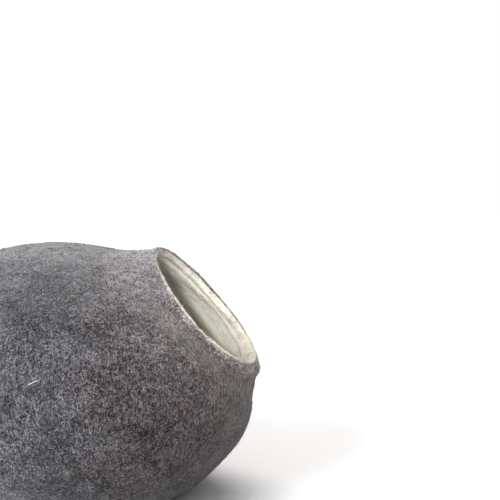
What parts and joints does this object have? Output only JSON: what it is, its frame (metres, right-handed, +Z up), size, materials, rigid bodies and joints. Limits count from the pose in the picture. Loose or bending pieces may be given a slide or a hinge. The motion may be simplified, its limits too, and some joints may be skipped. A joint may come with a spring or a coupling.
{
  "type": "felt cat cave",
  "caption": "Seamless hollow pebble of thick wool felt with a flattened base and one round collared mouth, tilted upwards.",
  "frame": {"origin": "on the floor under the middle of the cave's length and width", "axes": "+Z up from the floor, +X towards the mouth, +Y across to the cave's left as it faces +X"},
  "size_m": [0.4411, 0.4421, 0.2859],
  "materials": {
    "outer_felt": "matte heathered charcoal wool felt, slightly hairy",
    "inner_felt": "matte natural white wool felt, slightly hairy"
  },
  "bodies": {
    "root": {"outer_felt": "outer_felt", "inner_felt": "inner_felt"}
  },
  "joints": []
}
